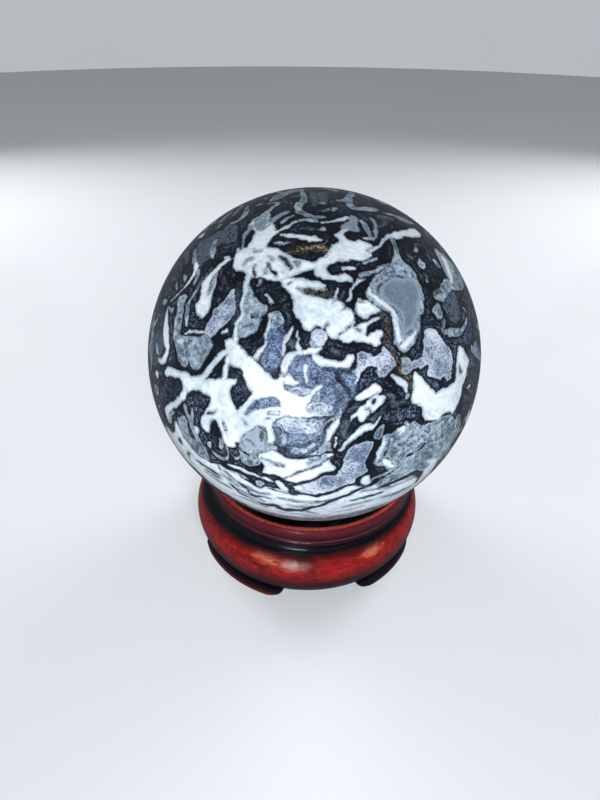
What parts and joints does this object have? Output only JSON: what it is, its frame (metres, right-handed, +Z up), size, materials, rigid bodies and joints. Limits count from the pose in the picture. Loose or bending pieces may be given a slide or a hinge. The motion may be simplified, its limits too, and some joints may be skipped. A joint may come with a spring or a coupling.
{
  "type": "decorative sphere",
  "caption": "Polished banded stone ball resting in a low turned wooden ring stand with a scored collar, a fat rounded belly and small bracket feet.",
  "frame": {"origin": "on the floor, under the middle of the ball", "axes": "+Z up; -Y is the front, the side that the camera faces; +X to the right"},
  "size_m": [0.07, 0.07, 0.0832],
  "materials": {
    "polished_stone": "black, white and grey veined, mirror polished",
    "lacquered_wood": "red stained, gloss lacquer, black painted grooves"
  },
  "bodies": {
    "root": {"stone_sphere": "polished_stone", "wooden_stand": "lacquered_wood"}
  },
  "joints": []
}
